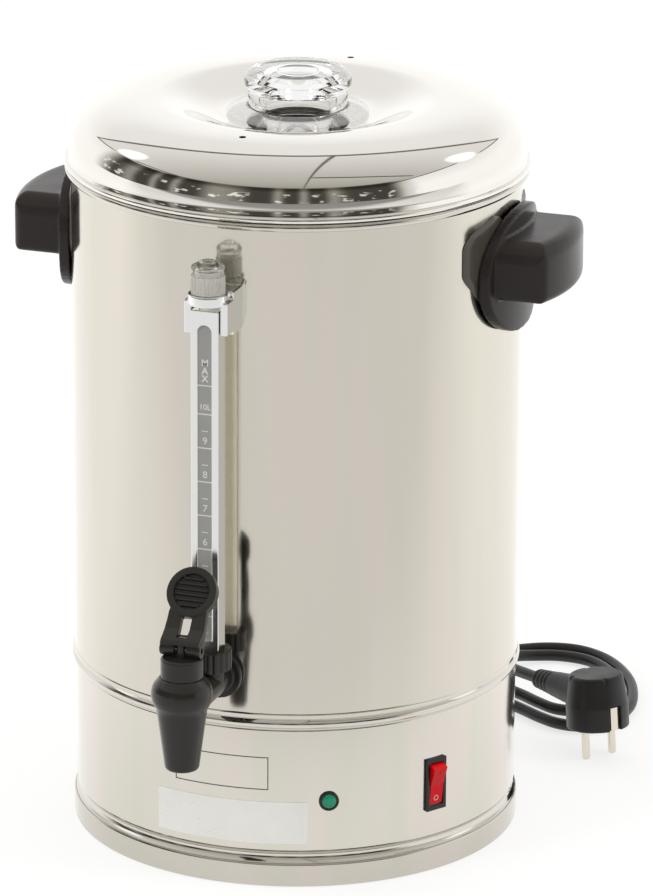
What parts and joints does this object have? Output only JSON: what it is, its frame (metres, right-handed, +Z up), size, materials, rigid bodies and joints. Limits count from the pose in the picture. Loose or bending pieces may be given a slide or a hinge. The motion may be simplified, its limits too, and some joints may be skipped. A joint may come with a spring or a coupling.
{
  "type": "coffee urn",
  "caption": "Stainless percolator coffee urn with a lever tap, sight gauge, domed lid, clear knob, side handles and a coiled mains lead.",
  "frame": {"origin": "on the tank's axis, at the surface that the urn stands on", "axes": "+Z up along the tank's axis, -Y towards the tap and sight gauge (the front), +X and -X towards the two handles"},
  "size_m": [0.3262, 0.4975, 0.44],
  "materials": {
    "steel_satin": "fine vertical satin",
    "steel_polished": "mirror polished",
    "steel_plain": "mill finish",
    "chrome": "bright",
    "aluminium": "die cast",
    "dark_plastic": "glossy",
    "black_plastic": "satin",
    "clear_plastic": "clear moulded",
    "glass_tube": "clear",
    "scale_film": "satin",
    "silicone": "soft",
    "black_rubber": "matt",
    "cord_jacket": "smooth",
    "nickel": "plated",
    "brass_tab": "plain",
    "ceramic_body": "unglazed",
    "wire_sleeve": "woven sleeve",
    "green_lens": "translucent",
    "red_rocker": "translucent"
  },
  "bodies": {
    "root": {"tank_shell": "steel_satin", "tank_floor": "steel_plain", "floor_screws": "steel_plain", "base_shroud": "steel_satin", "foot_band": "steel_satin", "foot_ring": "black_rubber", "bottom_plate": "steel_plain", "bottom_screws": "steel_plain", "heater_block": "aluminium", "heater_element": "steel_plain", "warm_element": "aluminium", "brew_thermostat": "ceramic_body", "warm_thermostat": "ceramic_body", "thermal_cutout": "steel_plain", "terminal_block": "ceramic_body", "inner_wires": "wire_sleeve", "lamp_bezel": "black_plastic", "lamp_body": "black_plastic", "lamp_lens": "green_lens", "switch_housing": "black_plastic", "switch_tabs": "brass_tab", "handle_seat_left": "dark_plastic", "handle_seat_right": "dark_plastic", "handle_left": "dark_plastic", "handle_right": "dark_plastic", "handle_screws": "steel_plain", "tap_body": "black_plastic", "tap_nut": "nickel", "tap_seals": "black_rubber", "tap_bonnet": "black_plastic", "gauge_seal": "silicone", "gauge_nut": "black_plastic", "sight_tube": "glass_tube", "gauge_scale": "scale_film", "gauge_shield": "chrome", "gauge_bracket": "chrome", "bracket_screw": "steel_plain", "cord_gland": "black_plastic", "gland_nut": "black_plastic", "cord_relief": "black_rubber", "power_cord": "cord_jacket", "plug_body": "black_rubber", "plug_pins": "nickel", "plug_contacts": "nickel", "valve_spring": "steel_plain"},
    "pump": {"pump_stem": "aluminium", "pump_foot": "aluminium"},
    "pump_valve": {"pump_valve": "steel_plain"},
    "basket": {"basket": "aluminium"},
    "basket_cover": {"basket_cover": "aluminium"},
    "lid": {"lid": "steel_polished"},
    "knob": {"knob": "clear_plastic", "knob_clip": "steel_plain"},
    "tap_valve": {"valve_stem": "black_plastic", "lever_pin": "nickel", "seat_cup": "silicone"},
    "tap_lever": {"tap_lever": "black_plastic"},
    "rocker": {"rocker": "red_rocker"},
    "gauge_cap": {"gauge_cap": "clear_plastic"}
  },
  "joints": [
    {"name": "pump_lift", "type": "slide", "parent": "root", "child": "pump", "axis": [0, 0, 1], "range_m": [0, 0.31]},
    {"name": "pump_valve_float", "type": "slide", "parent": "pump", "child": "pump_valve", "axis": [0, 0, 1], "range_m": [0, 0.003]},
    {"name": "basket_lift", "type": "slide", "parent": "pump", "child": "basket", "axis": [0, 0, 1], "range_m": [0, 0.135]},
    {"name": "cover_lift", "type": "slide", "parent": "basket", "child": "basket_cover", "axis": [0, 0, 1], "range_m": [0, 0.05]},
    {"name": "lid_lift", "type": "slide", "parent": "basket_cover", "child": "lid", "axis": [0, 0, 1], "range_m": [0, 0.06]},
    {"name": "knob_turn", "type": "hinge", "parent": "lid", "child": "knob", "pos_m": [0, 0, 0.414], "axis": [0, 0, 1], "range_deg": [0, 90]},
    {"name": "valve_lift", "type": "slide", "parent": "root", "child": "tap_valve", "axis": [0, 0, 1], "range_m": [0, 0.0035], "deforming": ["valve_spring"]},
    {"name": "lever_pull", "type": "hinge", "parent": "tap_valve", "child": "tap_lever", "pos_m": [0, -0.188, 0.16], "axis": [1, 0, 0], "range_deg": [0, 60], "stiffness_Nm_per_rad": 0.03},
    {"name": "rocker_press", "type": "hinge", "parent": "root", "child": "rocker", "pos_m": [0.10582, -0.0669, 0.0512], "axis": [-0.5344, -0.8453, 0], "range_deg": [0, 24]},
    {"name": "gauge_cap_lift", "type": "slide", "parent": "root", "child": "gauge_cap", "axis": [0, 0, 1], "range_m": [0, 0.025]}
  ],
  "couplings": [
    {"joint": "valve_lift", "follows": "lever_pull", "m_per_rad": 0.0033423}
  ]
}
